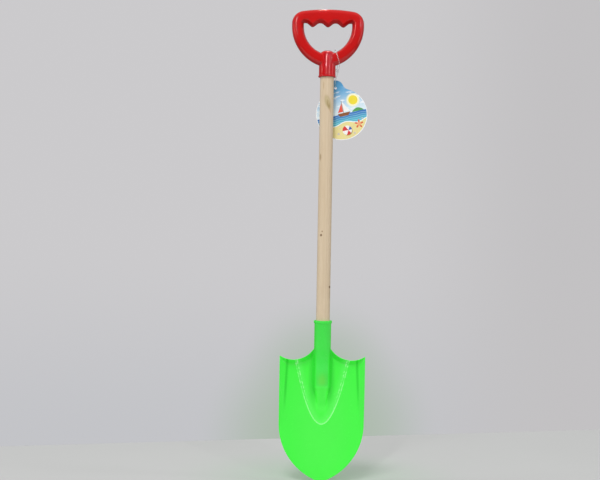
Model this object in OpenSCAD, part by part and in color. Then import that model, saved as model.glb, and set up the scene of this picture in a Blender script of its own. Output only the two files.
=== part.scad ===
// Child's long sand shovel: moulded hand grip, wooden shaft, moulded blade, and a card tag on a nylon loop.
// The origin is at the middle of the grip's bar, +Z runs up the shaft, and the hollow of the blade faces -Y.

/* [Shaft] */
// Diameter of the wooden shaft
shaft_d = 22; // [19:0.5:25]
// Length of the wooden shaft, end to end
shaft_len = 530; // [400:5:700]
// Chamfer round both ends of the shaft
shaft_chamfer = 1; // [0.5:0.1:2]

/* [Hand grip] */
// Width of the hand loop, outside
grip_w = 115.8; // [108:0.2:126]
// Thickness of the hand loop, front to back
grip_t = 23; // [19:0.5:25]
// Height of the bar's crown above the bar's middle
crown_h = 12.9; // [11:0.1:15]
// Outside radius of the loop's upper corners
corner_r = 20; // [17:0.5:23]
// Depth of the loop's widest point below the bar's middle
widest_drop = 10; // [7:0.5:12]
// Length of the straight sides between the upper corners and the limbs' sweep
side_len = 4; // [1:0.5:8]
// Outside radius of the limbs' sweep down to the collar
limb_sweep_r = 66.5; // [64:0.5:72]
// Width of a limb, seen from the front
limb_w = 19; // [16:0.1:20]
// Extra width of a limb where it runs into the collar
limb_flare = 2; // [0.5:0.1:4]
// Depth of the finger grooves' roofs below the bar's middle
groove_drop = 9; // [7:0.1:10]
// Height of the ridges between the finger grooves
finger_h = 6.3; // [3:0.1:8]
// Pitch of the finger grooves
finger_pitch = 24.6; // [22:0.2:27]
// Width of the bevel round the inside of the loop
bevel_w = 4.6; // [3:0.1:6]
// Width of the rounding round the outside of the loop
outer_round_w = 8; // [5:0.1:9]

/* [Grip collar] */
// Depth of the collar's mouth below the bar's middle
collar_drop = 96; // [92:0.5:110]
// Depth of the shaft's seat in the collar
collar_seat = 34; // [26:0.5:38]
// Wall of the collar
collar_wall = 2.3; // [1.8:0.1:3]
// Thickness of the dome over the shaft's end
dome_t = 9.4; // [7:0.1:10.4]
// Radius of the dome
dome_r = 17; // [15.5:0.1:18.5]
// Step of the rim round the collar's mouth
collar_rim_step = 1.05; // [0.5:0.05:1.8]
// Height of the rim round the collar's mouth
collar_rim_h = 2.6; // [1.5:0.1:4]

/* [Blade outline] */
// Width of the blade
blade_w = 136.6; // [120:0.2:150]
// Radius of the two arcs that sweep in to the point
point_sweep_r = 98; // [90:0.5:110]
// Radius of the rounded point
point_r = 12; // [8:0.5:18]
// Height of the blade's ears above the point
ear_h = 203; // [190:0.5:220]
// Radius of the scallops between the ears and the socket
scallop_r = 39; // [34:0.5:44]
// Distance of the scallops' centres from the middle
scallop_x = 46; // [43:0.5:49]

/* [Blade form] */
// Thickness of the blade's sheet
blade_t = 2.2; // [1.8:0.1:3]
// Depth of the blade's face behind the shaft's axis
pan_depth = 1; // [0:0.1:3]
// Rise of the face from its middle to its sides
pan_rise = 6; // [3:0.1:9]
// Rise of the face towards the point
point_rise = 6; // [3:0.1:9]
// Width of the turned-up side walls
wall_w = 12; // [9:0.1:15]
// Rise of the side walls
wall_rise = 9; // [5:0.1:12]
// Width of the turned-up shoulders under the scallops
shoulder_w = 7.5; // [5:0.1:10]
// Height of the U-shaped hollow's lowest point above the blade's point
hollow_z = 91; // [80:0.5:100]
// Half width of the U-shaped hollow at the scallops
hollow_half_w = 44; // [36:0.5:48]
// Depth of the hollow just inside its edge
hollow_h = 2.4; // [1.5:0.1:4]
// Width of the slope at the hollow's edge
hollow_edge_w = 3.2; // [2.5:0.1:5]
// Depth that the hollow gains from its edge to the socket
hollow_fall = 5; // [3:0.1:7]

/* [Blade socket] */
// Height of the socket's mouth above the blade's point
socket_top = 258.7; // [245:0.5:280]
// Depth of the shaft's seat in the socket
socket_seat = 104.7; // [90:0.5:112]
// Wall of the socket
socket_wall = 2.4; // [1.8:0.1:3]
// Step of the rim round the socket's mouth
socket_rim_step = 1.1; // [0.5:0.05:1.8]
// Height of the rim round the socket's mouth
socket_rim_h = 4.7; // [3:0.1:6]
// Length of the nose that fairs the socket's foot into the hollow
nose_len = 34; // [26:1:44]
// Length of the socket's closed end, seen from the back
socket_end = 10; // [6:0.5:13]
// Radius of the closed end's tip
socket_end_r = 8; // [6:0.5:10]

/* [Fixing screws] */
// Diameter of the screws' shanks
screw_d = 3; // [2.5:0.1:3.5]
// Length of the screws under the head
screw_len = 13; // [10:0.5:16]
// Diameter of the screws' heads
head_d = 6.2; // [5.5:0.1:7]
// Height of the screws' heads
head_h = 2; // [1.6:0.1:2.4]
// Distance of each screw from the mouth that it holds
screw_inset = 13; // [10:0.5:16]

/* [Tag and loop] */
// Diameter of the tag's round body
tag_d = 83.6; // [70:0.2:90]
// Diameter of the tag's tab
tab_d = 25.6; // [20:0.2:28]
// Distance from the tab's hole to the middle of the body
tag_reach = 43.5; // [40:0.5:48]
// Thickness of the card
card_t = 0.6; // [0.4:0.05:0.8]
// Diameter of the hole in the tab
tag_hole_d = 4; // [3.6:0.1:5]
// Tilt of the tag as it hangs
tag_tilt = 14; // [0:1:20]
// Distance of the tag's hole to the side of the shaft's axis
tag_side = 14.2; // [13:0.1:15.5]
// Diameter of the nylon loop's strand
strand_d = 1.2; // [0.8:0.1:1.4]
// Slack of the loop round the limb
loop_slack = 1.2; // [1:0.1:1.6]
// Lean of the loop across the limb
loop_lean = 17; // [12:1:20]
// Width of the loop's lock
lock_w = 3.4; // [3:0.1:4]
// Length of the loop's lock
lock_len = 5.5; // [5:0.1:7]
// Thickness of the loop's lock
lock_t = 2.2; // [2:0.1:2.6]

/* [Hidden] */

// Fits: shaft in its seats, screw in the wood, loose parts past fixed ones, and the overrun of every cut
seat_gap = 0.05;
pilot_gap = 0.05;
hang_gap = 1.5;
cut = 1;

// Sections of the hand loop: steps along a quarter of its section and along its stretches
quarter_steps = 4;
bar_steps = 34;
corner_steps = 5;
limb_steps = 14;
// Roundness of the section: under 2 leaves a crease at the bevel's edge, over 2 squares the outer rounding
bevel_power = 1.5;
round_power = 2.3;
finger_power = 1.25;

// Sheet of the blade: columns across the nose, the pan and the wall
nose_columns = 13;
pan_columns = 8;
wall_columns = 8;
// Rows from the point up to the hollow, down its edge, over its floor and up the shoulder
foot_rows = 16;
edge_rows = 3;
floor_rows = 14;
shoulder_rows = 7;

// Levels along the shaft's axis
collar_mouth = -collar_drop;
shaft_top = collar_mouth + collar_seat;
shaft_foot = shaft_top - shaft_len;
point_z = shaft_foot - (socket_top - socket_seat);
socket_mouth = point_z + socket_top;

shaft_r = shaft_d / 2;
seat_r = shaft_r + seat_gap;
collar_r = seat_r + collar_wall;
socket_r = seat_r + socket_wall;
socket_floor = socket_top - socket_seat;
half_w = blade_w / 2;

// Smooth curves shared by the grip and the blade
function ease(t) = let(c = min(max(t, 0), 1)) c * c * (3 - 2 * c);
function ramp(d, soft) = (d + sqrt(d * d + soft * soft)) / 2;
function blend_max(a, b, soft) = let(h = max(soft - abs(a - b), 0) / soft) max(a, b) + h * h * soft / 4;
function mix(a, b, t) = a + (b - a) * t;

// Closed mesh from rings of points, joined into a tube whose last ring meets its first
function ring_faces(rings, sides) = [
    for (i = [0:rings - 1], j = [0:sides - 1])
        let(a = i * sides, b = (i + 1) % rings * sides, k = (j + 1) % sides)
        each [[a + j, b + j, b + k], [a + j, b + k, a + k]]
];

// Hand loop, seen from the front: crown, corner, straight side and limb run on smoothly into each other
corner_x = grip_w / 2 - corner_r;
limb_x = grip_w / 2 - limb_sweep_r;
sweep_drop = widest_drop + side_len;
crown_r = let(a = crown_h + widest_drop)
    (corner_x * corner_x + a * a - corner_r * corner_r) / (2 * (a - corner_r));
crown_angle = asin(corner_x / (crown_r - corner_r));
inner_sweep_r = limb_sweep_r - limb_w;
inner_corner_x = corner_x + corner_r - limb_w;

function finger_line(x) =
    let(near = abs(x) < 1.5 * finger_pitch ? 1 : 0, wave = (1 + cos(360 * x / finger_pitch)) / 2)
    -groove_drop - near * finger_h * pow(wave, finger_power);
function at(centre_x, centre_z, r, angle) = [centre_x + r * cos(angle), centre_z + r * sin(angle)];

// Each station holds its inner and its outer point, from the middle of the bar round to the collar
bar_half = [for (i = [0:bar_steps / 2]) let(t = i / (bar_steps / 2), x = t * corner_x)
    [[x, finger_line(x)], at(0, crown_h - crown_r, crown_r, 90 - t * crown_angle)]];
corner_half = [for (i = [1:corner_steps]) let(t = i / corner_steps)
    [[mix(corner_x, inner_corner_x, t), mix(finger_line(corner_x), -widest_drop, t)],
     at(corner_x, -widest_drop, corner_r, (1 - t) * (90 - crown_angle))]];
limb_half = [for (i = [0:limb_steps])
    let(t = i / limb_steps, r_in = inner_sweep_r - limb_flare * t * t * t)
    [at(limb_x, -sweep_drop, r_in, -t * acos(-limb_x / r_in)),
     at(limb_x, -sweep_drop, limb_sweep_r, -t * acos(-limb_x / limb_sweep_r))]];
half_loop = concat(bar_half, corner_half, limb_half);
half_count = len(half_loop);
loop_stations = concat(half_loop, [for (i = [half_count - 2:-1:1])
    [for (p = half_loop[i]) [-p[0], p[1]]]]);

// Section of the loop as [part of the bevel, part of the rounding, part of the half thickness]
section = concat(
    [for (i = [0:quarter_steps]) let(a = 90 * i / quarter_steps)
        [1 - pow(cos(a), 2 / bevel_power), 0, pow(sin(a), 2 / bevel_power)]],
    [for (i = [quarter_steps:-1:1]) let(a = 90 * i / quarter_steps)
        [2, 1 - pow(cos(a), 2 / round_power), pow(sin(a), 2 / round_power)]],
    [[2, 0, 0]],
    [for (i = [1:quarter_steps]) let(a = 90 * i / quarter_steps)
        [2, 1 - pow(cos(a), 2 / round_power), -pow(sin(a), 2 / round_power)]],
    [for (i = [quarter_steps:-1:1]) let(a = 90 * i / quarter_steps)
        [1 - pow(cos(a), 2 / bevel_power), 0, -pow(sin(a), 2 / bevel_power)]]);

function section_point(inner, outer, s) =
    let(across = outer - inner, w = norm(across),
        along = s[0] > 1 ? w - outer_round_w * s[1] : bevel_w * s[0])
    [inner[0] + across[0] * along / w, s[2] * grip_t / 2, inner[1] + across[1] * along / w];

module hand_loop() {
    polyhedron(
        [for (st = loop_stations, s = section) section_point(st[0], st[1], s)],
        ring_faces(len(loop_stations), len(section)), convexity = 6);
}

// Collar: plain tube with a rim at its mouth and a domed top
dome_centre = shaft_top + dome_t - dome_r;
dome_edge_angle = acos(collar_r / dome_r);
dome_steps = 8;
module collar_body() {
    rotate_extrude($fn = 96) polygon(concat(
        [[0, collar_mouth], [collar_r, collar_mouth],
         [collar_r + collar_rim_step, collar_mouth + collar_rim_step / 2],
         [collar_r + collar_rim_step, collar_mouth + collar_rim_h - collar_rim_step],
         [collar_r, collar_mouth + collar_rim_h]],
        [for (i = [0:dome_steps]) at(0, dome_centre, dome_r, mix(dome_edge_angle, 90, i / dome_steps))]));
}

// Depth and spare width of the spot faces that the screws' heads sit on
head_seat = 0.9;
head_room = 1;

// Hole for a screw from the back: spot face for the head, clearance hole through the wall
module screw_hole(wall_r) {
    translate([0, wall_r - head_seat, 0]) rotate([-90, 0, 0])
        cylinder(d = head_d + head_room, h = head_h + cut, $fn = 48);
    rotate([-90, 0, 0]) cylinder(d = screw_d + 4 * pilot_gap, h = wall_r, $fn = 48);
}

grip_screw_z = collar_mouth + screw_inset;
blade_screw_z = socket_mouth - screw_inset;

module grip() {
    color("firebrick") difference() {
        union() {
            hand_loop();
            collar_body();
        }
        translate([0, 0, collar_mouth - cut]) cylinder(r = seat_r, h = collar_seat + cut, $fn = 96);
        translate([0, 0, grip_screw_z]) screw_hole(collar_r);
    }
}

// Pilot holes take the whole screw past the collar's and the socket's wall
pilot_len = screw_len;
module shaft() {
    color("burlywood") difference() {
        translate([0, 0, shaft_foot]) rotate_extrude($fn = 96) polygon([
            [0, 0], [shaft_r - shaft_chamfer, 0], [shaft_r, shaft_chamfer],
            [shaft_r, shaft_len - shaft_chamfer], [shaft_r - shaft_chamfer, shaft_len], [0, shaft_len]]);
        for (z = [grip_screw_z, blade_screw_z])
            translate([0, shaft_r - pilot_len, z]) rotate([-90, 0, 0])
                cylinder(d = screw_d + 2 * pilot_gap, h = pilot_len + cut, $fn = 48);
    }
}

// Outline of the blade, heights above its point
sweep_in = point_sweep_r - half_w;
side_foot = point_r + sqrt(pow(point_sweep_r - point_r, 2) - sweep_in * sweep_in);
scallop_z = ear_h + sqrt(scallop_r * scallop_r - pow(half_w - scallop_x, 2));
touch_x = point_sweep_r * sweep_in / (point_sweep_r - point_r) - sweep_in;
function foot_line(a) = a < touch_x
    ? point_r - sqrt(point_r * point_r - a * a)
    : side_foot - sqrt(max(point_sweep_r * point_sweep_r - pow(a + sweep_in, 2), 0));
function scallop_line(a, out) = let(x = max(a, scallop_x - scallop_r * root_share))
    scallop_z - sqrt(pow(scallop_r + out, 2) - pow(x - scallop_x, 2));
// Share of the scallop's radius at which its arc has reached the socket
root_share = 0.88;

// Forward height of the blade's face, as parts that are added or blended
pan_curve = 2;
function pan(a, z) = -pan_depth + pan_rise * pow(a / half_w, pan_curve)
    + point_rise * pow(max(side_foot - z, 0) / side_foot, pan_curve);
function side_wall(a, z) = wall_rise * ramp(a - (half_w - wall_w), corner_soft) / wall_w
    * ease((z - side_foot * wall_shares[0]) / (side_foot * wall_shares[1]));
// The side walls start and are whole at these shares of the height of the straight sides' feet
wall_shares = [0.8, 0.9];
corner_soft = 1.2;
function shoulder(a, z) =
    let(in = norm([a - scallop_x, z - scallop_z]) - scallop_r)
    wall_rise * ramp(shoulder_w - in, corner_soft) / shoulder_w;
function rim(a, z) = blend_max(side_wall(a, z), shoulder(a, z), corner_soft);

// The hollow's edge follows a parabola that opens upwards, and its floor falls towards the socket
hollow_focus = hollow_half_w * hollow_half_w / (scallop_z - scallop_r - hollow_z);
function edge_turn(a) = norm([1, 2 * a / hollow_focus]);
function edge_line(a, in) = hollow_z + a * a / hollow_focus + in * edge_turn(a);
function in_hollow(a, z) = (z - edge_line(a, 0)) / edge_turn(a);
function hollow(a, z) = let(in = in_hollow(a, z))
    hollow_h * ease(in / hollow_edge_w) + hollow_fall * min(max(in / (socket_floor - hollow_z), 0), 1);

// The nose carries the socket's round front down into the hollow, and dives under the floor at its foot
nose_top = socket_floor - socket_wall;
nose_foot = nose_top - nose_len;
nose_floor = -pan_depth - hollow(0, nose_foot);
nose_soft = 5;
nose_foot_share = 0.4;
nose_flank = 2;
skin = 0.25;
function nose(a, z) =
    let(t = min((z - nose_foot) / nose_len, 1), r = socket_r - skin,
        base = mix(nose_floor, 0, t), peak = mix(nose_floor, r, t),
        w = r * mix(nose_foot_share, 1, max(t, 0)), u = a / w)
    u < 1 ? base + (peak - base) * sqrt(1 - u * u) : base - nose_flank * (a - w);

function face(a, z) = blend_max(pan(a, z) - hollow(a, z) + rim(a, z), nose(a, z), nose_soft);
probe = 0.05;
function steep(a, z) = let(h = face(a, z))
    min(norm([1, (face(a + probe, z) - h) / probe, (face(a, z + probe) - h) / probe]), steep_most);
steep_most = 2;

// Columns bunch at the nose and at the edge, where the form turns quickest
wall_from = half_w - wall_w;
nose_to = 2 * socket_r;
half_columns = concat(
    [for (i = [0:nose_columns]) nose_to * i / nose_columns],
    [for (i = [1:pan_columns]) mix(nose_to, wall_from, i / pan_columns)],
    [for (i = [1:wall_columns]) mix(wall_from, half_w, sin(90 * i / wall_columns))]);
column_count = 2 * len(half_columns) - 1;
columns = concat([for (i = [len(half_columns) - 1:-1:1]) -half_columns[i]], half_columns);

// Rows run along the hollow's edge and the shoulder's fold, and keep some room where these meet
sheet_rows = foot_rows + edge_rows + floor_rows + shoulder_rows;
row_room = hollow_edge_w;
function row_z(a, j) =
    let(fold = scallop_line(a, shoulder_w),
        outer = min(edge_line(a, 0), fold - 2 * row_room),
        inner = min(edge_line(a, hollow_edge_w), fold - row_room),
        e = j - foot_rows, f = e - edge_rows, s = f - floor_rows)
    e < 0 ? mix(foot_line(a), outer, j / foot_rows)
    : f < 0 ? mix(outer, inner, e / edge_rows)
    : s < 0 ? mix(inner, fold, f / floor_rows)
    : mix(fold, scallop_line(a, 0), s / shoulder_rows);

// Sheet between the front face and the same face set back by the thickness
module sheet() {
    rows = sheet_rows + 1;
    front = [for (x = columns, j = [0:sheet_rows])
        let(a = abs(x), z = row_z(a, j)) [x, -face(a, z), z]];
    back = [for (p = front) p + [0, blade_t * steep(abs(p[0]), p[2]), 0]];
    total = len(front);
    // Each square is split along the diagonal that runs outwards and up, as the hollow's edge does
    skin_faces = [for (i = [0:column_count - 2], j = [0:sheet_rows - 1])
        let(a = i * rows + j, b = a + rows,
            q = i < len(half_columns) - 1 ? [b, a, a + 1, b + 1] : [a, a + 1, b + 1, b],
            r = [for (k = q) total + k])
        each [[q[0], q[1], q[2]], [q[0], q[2], q[3]], [r[0], r[2], r[1]], [r[0], r[3], r[2]]]];
    end_faces = [for (i = [0:column_count - 2])
        let(a = i * rows, b = a + rows, c = a + sheet_rows, d = c + rows) each [
            [a, b, total + b], [a, total + b, total + a],
            [c, total + c, total + d], [c, total + d, d]]];
    side_faces = [for (j = [0:sheet_rows - 1])
        let(a = j, b = (column_count - 1) * rows + j) each [
            [a, total + a, total + a + 1], [a, total + a + 1, a + 1],
            [b, b + 1, total + b + 1], [b, total + b + 1, total + b]]];
    polyhedron(concat(front, back), concat(skin_faces, end_faces, side_faces), convexity = 8);
}

module socket_body() {
    rim_r = socket_r + socket_rim_step;
    bevel = socket_rim_step / 2;
    rotate_extrude($fn = 96) polygon([
        [0, socket_floor - socket_end], [socket_end_r, socket_floor - socket_end],
        [socket_r, socket_floor], [socket_r, socket_top - socket_rim_h],
        [rim_r, socket_top - socket_rim_h + bevel], [rim_r, socket_top - bevel],
        [rim_r - bevel, socket_top], [0, socket_top]]);
}

module blade() {
    color("limegreen", 0.85) difference() {
        translate([0, 0, point_z]) union() {
            sheet();
            socket_body();
        }
        translate([0, 0, shaft_foot]) cylinder(r = seat_r, h = socket_seat + cut, $fn = 96);
        translate([0, 0, blade_screw_z]) screw_hole(socket_r);
    }
}

// Pan-head wood screw, pointing forward from the back of its mouth
module screw(wall_r) {
    tip = screw_d;
    recess_w = screw_d / 4;
    recess_l = head_d / 2;
    seat_y = wall_r - head_seat;
    translate([0, seat_y, 0]) rotate([90, 0, 0]) color("silver") difference() {
        rotate_extrude($fn = 48) polygon([
            [0, -head_h], [head_d / 4, -head_h], [head_d / 2 - head_h / 4, -head_h * 3 / 4],
            [head_d / 2, -head_h / 4], [head_d / 2, 0], [screw_d / 2, 0],
            [screw_d / 2, screw_len - tip], [0, screw_len]]);
        for (turn = [0, 90]) rotate([0, 0, turn])
            translate([-recess_l / 2, -recess_w / 2, -head_h - cut])
                cube([recess_l, recess_w, cut + head_h / 2]);
    }
}
module grip_screw() { translate([0, 0, grip_screw_z]) screw(collar_r); }
module blade_screw() { translate([0, 0, blade_screw_z]) screw(socket_r); }

// The nylon loop runs like a belt round two circles, a large one about the limb and a small one in the tag
hole_gap = 0.3;
loop_clear = 2.85;
tag_clear = 2.5;
turn_r = 1.5 * strand_d;
loop_sides = 8;
arc_steps = 26;
turn_steps = 8;
straight_steps = 9;

loop_r = norm([limb_w / 2 - bevel_w, grip_t / 2]) + strand_d / 2 + loop_slack;
limb_mid_r = limb_sweep_r - limb_w / 2;
loop_centre = let(x = collar_r + loop_clear)
    [x, 0, -sweep_drop - sqrt(limb_mid_r * limb_mid_r - pow(x - limb_x, 2))];
loop_axis = [cos(loop_lean), 0, sin(loop_lean)];
loop_down = [sin(loop_lean), 0, -cos(loop_lean)];

hole_slack = (tag_hole_d - strand_d) / 2 - hole_gap;
tag_pivot = [tag_side, shaft_r + hang_gap + card_t / 2,
    collar_mouth - tab_d / 2 - tag_clear + hole_slack];
to_tag = tag_pivot - loop_centre;
turn_centre = [to_tag[1], to_tag * loop_down - turn_r];
belt_turn = atan2(turn_centre[0], turn_centre[1]);
belt_spread = acos((loop_r - turn_r) / norm(turn_centre));

// A point of the loop from its place across, down and along the limb's axis
function in_loop(back, down, along) =
    loop_centre + [0, back, 0] + down * loop_down + along * loop_axis;
function round_limb(angle) = in_loop(loop_r * sin(angle), loop_r * cos(angle), 0);
function through_tag(angle) = in_loop(turn_centre[0] + turn_r * sin(angle),
    turn_centre[1] + turn_r * cos(angle), to_tag * loop_axis);
function strand_between(angle, t) =
    let(a = round_limb(angle), b = through_tag(angle), shift = (b - a) * loop_axis)
    a + (b - a - shift * loop_axis) * t + shift * ease(t) * loop_axis;
loop_route = concat(
    [for (i = [0:arc_steps]) round_limb(mix(belt_turn + belt_spread, 360 + belt_turn - belt_spread,
        i / arc_steps))],
    [for (i = [1:straight_steps - 1]) strand_between(belt_turn - belt_spread, i / straight_steps)],
    [for (i = [0:turn_steps]) through_tag(mix(belt_turn - belt_spread, belt_turn + belt_spread,
        i / turn_steps))],
    [for (i = [straight_steps - 1:-1:1]) strand_between(belt_turn + belt_spread, i / straight_steps)]);

module loop_strand() {
    count = len(loop_route);
    points = [for (i = [0:count - 1])
        let(ahead = loop_route[(i + 1) % count] - loop_route[(i + count - 1) % count],
            t = ahead / norm(ahead), across = loop_axis - (loop_axis * t) * t,
            u = across / norm(across), v = cross(t, u))
        each [for (j = [0:loop_sides - 1]) let(a = 360 * j / loop_sides)
            loop_route[i] + strand_d / 2 * (cos(a) * u + sin(a) * v)]];
    polyhedron(points, ring_faces(count, loop_sides), convexity = 8);
}

// Lock of the loop: a flat nylon pad with round ends, on the rear strand between the limb and the tag
lock_share = 0.4;
module loop_lock() {
    translate(strand_between(belt_turn + belt_spread, lock_share))
        rotate([0, -loop_lean, 0]) rotate([-90, 0, 0])
            linear_extrude(lock_t, center = true) {
                square([lock_w, lock_len - lock_w], center = true);
                for (side = [-1, 1]) translate([0, side * (lock_len - lock_w) / 2])
                    circle(d = lock_w, $fn = 32);
            }
}

module tag_loop() {
    color("whitesmoke", 0.6) union() {
        loop_strand();
        loop_lock();
    }
}

// Card tag: round body and tab joined by a filleted neck
neck_r = tab_d / 2;
module tag_outline() {
    offset(r = -neck_r, $fn = 96) offset(r = neck_r, $fn = 96) {
        circle(d = tab_d, $fn = 64);
        translate([0, -tag_reach]) circle(d = tag_d, $fn = 96);
    }
}
module hang_tag() {
    color("skyblue") translate(tag_pivot) rotate([0, -tag_tilt, 0]) rotate([90, 0, 0])
        translate([0, -hole_slack, 0]) difference() {
            linear_extrude(card_t, center = true) tag_outline();
            cylinder(d = tag_hole_d, h = card_t + 2 * cut, center = true, $fn = 48);
        }
}

grip();
shaft();
blade();
grip_screw();
blade_screw();
tag_loop();
hang_tag();
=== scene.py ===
from math import acos, asin, atan2, cos, hypot, pi, radians, sin

import bmesh
import bpy
import numpy as np
from mathutils import Matrix, Vector


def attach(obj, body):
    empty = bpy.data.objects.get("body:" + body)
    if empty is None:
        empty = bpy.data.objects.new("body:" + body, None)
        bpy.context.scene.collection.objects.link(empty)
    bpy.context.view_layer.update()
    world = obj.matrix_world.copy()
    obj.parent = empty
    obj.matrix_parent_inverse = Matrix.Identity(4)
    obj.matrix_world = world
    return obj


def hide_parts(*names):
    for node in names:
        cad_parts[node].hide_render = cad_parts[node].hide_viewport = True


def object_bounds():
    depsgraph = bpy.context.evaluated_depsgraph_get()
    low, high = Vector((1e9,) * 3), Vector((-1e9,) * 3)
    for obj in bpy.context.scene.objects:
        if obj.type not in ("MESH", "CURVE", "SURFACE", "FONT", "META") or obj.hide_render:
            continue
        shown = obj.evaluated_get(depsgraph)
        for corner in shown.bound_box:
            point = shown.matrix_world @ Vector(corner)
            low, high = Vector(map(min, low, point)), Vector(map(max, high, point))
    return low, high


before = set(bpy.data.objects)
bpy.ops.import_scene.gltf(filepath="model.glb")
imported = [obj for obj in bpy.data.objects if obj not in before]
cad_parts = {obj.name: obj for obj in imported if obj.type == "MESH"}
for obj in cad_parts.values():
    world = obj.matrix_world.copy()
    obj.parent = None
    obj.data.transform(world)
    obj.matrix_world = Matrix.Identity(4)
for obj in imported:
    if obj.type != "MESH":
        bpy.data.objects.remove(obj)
cad_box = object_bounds()

# Camera: it stands 1.6 m in front of the shovel, level with its middle and 39 mm to its left, and looks
# straight ahead. The picture leans by one degree, as the photograph does.
mm = 0.001
eye_distance, eye_lean = 1.6, radians(1)
picture_w, pixel, sensor_w = 600, 1.61 * mm, 36
aim = Vector((-39.1, 0, -358.4)) * mm


def placed(name, data):
    """A new object of the scene that holds this data."""
    made = bpy.data.objects.new(name, data)
    bpy.context.scene.collection.objects.link(made)
    return made


lens = bpy.data.cameras.new("camera")
lens.sensor_width, lens.lens = sensor_w, sensor_w * eye_distance / (pixel * picture_w)
camera = placed("camera", lens)
camera.matrix_world = (Matrix.Translation(aim - Vector((0, eye_distance, 0)))
                       @ Matrix.Rotation(pi / 2, 4, "X") @ Matrix.Rotation(eye_lean, 4, "Z"))
bpy.context.scene.camera = camera
bpy.context.scene.view_settings.view_transform = "Standard"

# Tag loop: a thread of clear nylon, 1.2 mm thick, that goes round the grip's right limb and through the
# tag's hole like a belt round two wheels. Its ends are snapped into a small moulded lock behind the limb.
strand_r, loop_r, turn_r, loop_lean = 0.6, 14.3, 1.8, radians(17)
loop_middle, tag_hole = np.array([16.2, 0, -65.322]), np.array([14.2, 12.8, -110.2])
lock_share, lock_gap = 0.4, 1.5
lock_w, lock_len, lock_t = 3.4, 5.5, 2.2
lock_end_power, lock_side_power, lock_least, groove_depth, groove_half = 0.4, 0.75, 0.02, 0.12, 0.06
nylon_tones = (0.90, 0.91, 0.90), (0.97, 0.98, 0.97)

back = np.array([0, 1, 0])
along = np.array([cos(loop_lean), 0, sin(loop_lean)])
down = np.array([sin(loop_lean), 0, -cos(loop_lean)])
to_tag = tag_hole - loop_middle
turn_back, turn_down = to_tag[1], to_tag @ down - turn_r
belt_turn = atan2(turn_back, turn_down)
belt_spread = acos((loop_r - turn_r) / hypot(turn_back, turn_down))


def ease(t):
    """0 where t is below 0 and 1 where it is above 1, with a soft slope between."""
    t = np.clip(t, 0, 1)
    return t * t * (3 - 2 * t)


def mix(low, high, t):
    return low + (high - low) * t


def round_limb(angle):
    """The strand round the limb, by its angle from straight down towards the back."""
    return loop_middle + loop_r * (sin(angle) * back + cos(angle) * down)


def through_tag(angle):
    """The strand's small turn through the tag's hole, by the same angle."""
    return (loop_middle + (turn_back + turn_r * sin(angle)) * back
            + (turn_down + turn_r * cos(angle)) * down + (to_tag @ along) * along)


def between(angle, t):
    """The strand between the limb and the tag: straight, but for a soft shift along the limb."""
    start, end = round_limb(angle), through_tag(angle)
    shift = (end - start) @ along
    return start + (end - start - shift * along) * t + shift * ease(t) * along


front_side, rear_side = belt_turn - belt_spread, belt_turn + belt_spread
rear_len = np.linalg.norm(through_tag(rear_side) - round_limb(rear_side))
into_lock = lock_gap / 2 / rear_len
route = [between(rear_side, t) for t in np.linspace(lock_share - into_lock, 0, 12)]
route += [round_limb(a) for a in np.linspace(rear_side, 2 * pi + front_side, 60)[1:]]
route += [between(front_side, t) for t in np.linspace(0, 1, 24)[1:]]
route += [through_tag(a) for a in np.linspace(front_side, rear_side, 20)[1:]]
route += [between(rear_side, t) for t in np.linspace(1, lock_share + into_lock, 16)[1:]]
loop_length = sum(np.linalg.norm(b - a) for a, b in zip(route, route[1:]))

line = bpy.data.curves.new("nylon_strand", "CURVE")
line.dimensions, line.use_fill_caps = "3D", True
line.bevel_depth, line.bevel_resolution = strand_r * mm, 6
spline = line.splines.new("POLY")
spline.points.add(len(route) - 1)
for point, place in zip(spline.points, route):
    point.co = (*(place * mm), 1)
strand = placed("nylon_strand", line)


def smoothed(mesh, sharp):
    """Shades a mesh smooth, but for its edges that turn by more than this many degrees."""
    mesh.shade_smooth()
    mesh.set_sharp_from_angle(angle=radians(sharp))


def lofted(name, rings, closed=False):
    """A solid through rings of points in millimetres: with flat ends, or closed into one long ring."""
    made, count, sides = bmesh.new(), len(rings), len(rings[0])
    corners = [[made.verts.new(Vector(p) * mm) for p in ring] for ring in rings]
    for i in range(count if closed else count - 1):
        low, high = corners[i], corners[(i + 1) % count]
        for k in range(sides):
            made.faces.new((low[k], low[(k + 1) % sides], high[(k + 1) % sides], high[k]))
    if not closed:
        made.faces.new(corners[0])
        made.faces.new(corners[-1])
    bmesh.ops.recalc_face_normals(made, faces=made.faces)
    mesh = bpy.data.meshes.new(name)
    made.to_mesh(mesh)
    made.free()
    smoothed(mesh, 35)
    return placed(name, mesh)


# The lock is a flat pad with round ends, and has a shallow groove round its middle where its halves meet.
lock_middle = between(rear_side, lock_share)
lock_rings = []
for t in np.linspace(-1, 1, 41):
    groove = 1 - groove_depth * (abs(t) < groove_half)
    share = (1 - abs(t) ** 3) ** lock_end_power * groove + lock_least
    lock_rings.append([lock_middle + t * lock_len / 2 * down
                       + share * lock_w / 2 * np.sign(cos(a)) * abs(cos(a)) ** lock_side_power * along
                       + share * lock_t / 2 * np.sign(sin(a)) * abs(sin(a)) ** lock_side_power * back
                       for a in np.linspace(0, 2 * pi, 32, endpoint=False)])
lock = lofted("nylon_lock", lock_rings)


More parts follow.
